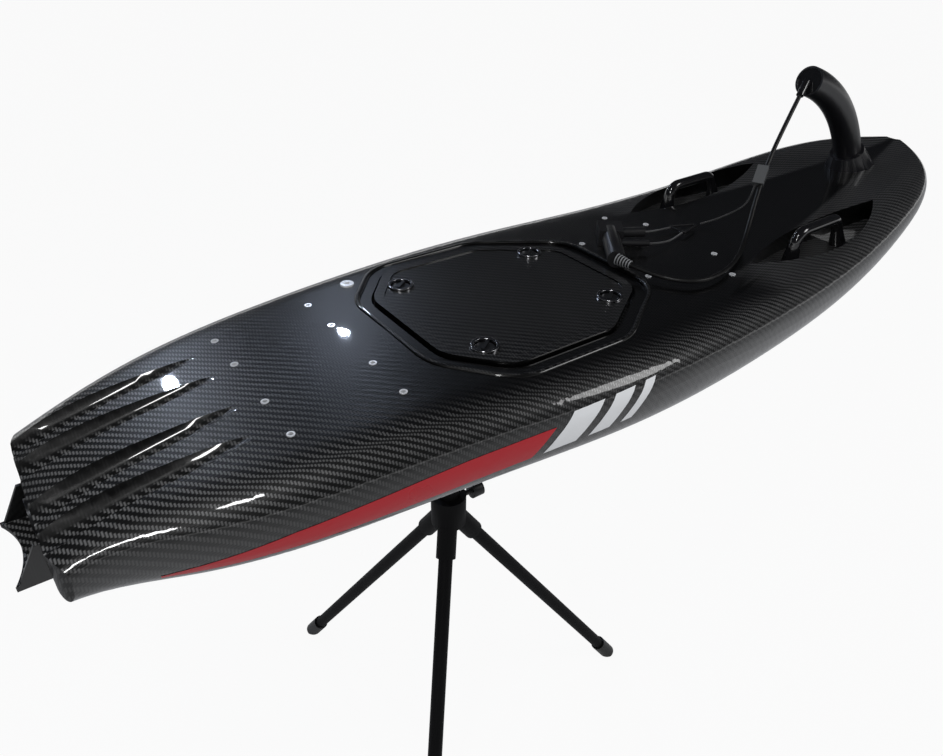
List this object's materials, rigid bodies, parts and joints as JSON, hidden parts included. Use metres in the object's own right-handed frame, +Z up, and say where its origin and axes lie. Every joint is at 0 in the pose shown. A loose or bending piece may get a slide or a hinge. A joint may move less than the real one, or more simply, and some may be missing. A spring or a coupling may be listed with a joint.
{
  "type": "motorized surfboard",
  "caption": "Carbon jet surfboard with lift-off engine hatch, grab handles, control pole, throttle cable and water-jet impeller, held level on a black tripod stand.",
  "frame": {"origin": "on the floor, on the axis of the stand's column", "axes": "+X along the board towards the nose, +Y to port, +Z up"},
  "size_m": [1.84, 0.7632, 1.322],
  "materials": {
    "carbon": "clear-coated black carbon twill",
    "carbon_lid": "clear-coated black carbon twill",
    "gloss_black": "gloss black",
    "bright_metal": "polished",
    "dark_metal": "satin dark",
    "jet_metal": "cast satin",
    "black_plastic": "satin black",
    "grey_plastic": "satin grey",
    "black_rubber": "matt black",
    "cord": "woven black",
    "stand_black": "satin black"
  },
  "bodies": {
    "board": {"hull": "carbon", "deck": "carbon", "strap_inserts": "bright_metal", "breather_plug": "bright_metal", "hatch_gasket": "black_rubber", "engine_block": "dark_metal", "shaft_bearing": "jet_metal", "jet_nozzle": "dark_metal", "intake_grille": "dark_metal", "stern_plate": "carbon", "grab_handle_port": "gloss_black", "grab_handle_starboard": "gloss_black", "control_pole": "gloss_black", "pole_base": "gloss_black", "pole_cap": "gloss_black", "throttle_cable": "black_rubber", "cable_gland": "gloss_black", "throttle_grip": "black_plastic", "throttle_trigger": "black_plastic", "grip_boot": "black_rubber", "cable_sleeve": "grey_plastic", "lanyard_ring": "black_plastic", "lanyard": "cord", "lanyard_tail_a": "cord", "lanyard_tail_b": "cord", "stand_hub": "stand_black", "stand_column": "stand_black", "clamp_knob": "black_plastic", "stand_leg_front": "stand_black", "stand_leg_port": "stand_black", "stand_leg_starboard": "stand_black", "stand_foot_front": "black_rubber", "stand_foot_port": "black_rubber", "stand_foot_starboard": "black_rubber", "stand_cradle": "stand_black", "cradle_pads": "black_rubber"},
    "lid": {"hatch_lid": "carbon_lid", "latch_rims": "bright_metal", "latch_knobs": "dark_metal"},
    "impeller": {"impeller": "jet_metal"}
  },
  "joints": [
    {"name": "lid_lift", "type": "slide", "parent": "board", "child": "lid", "axis": [0, 0, 1], "range_m": [0, 0.25]},
    {"name": "impeller_spin", "type": "hinge", "parent": "board", "child": "impeller", "pos_m": [-0.34, 0, 0.947], "axis": [1, 0, 0], "continuous": true}
  ]
}
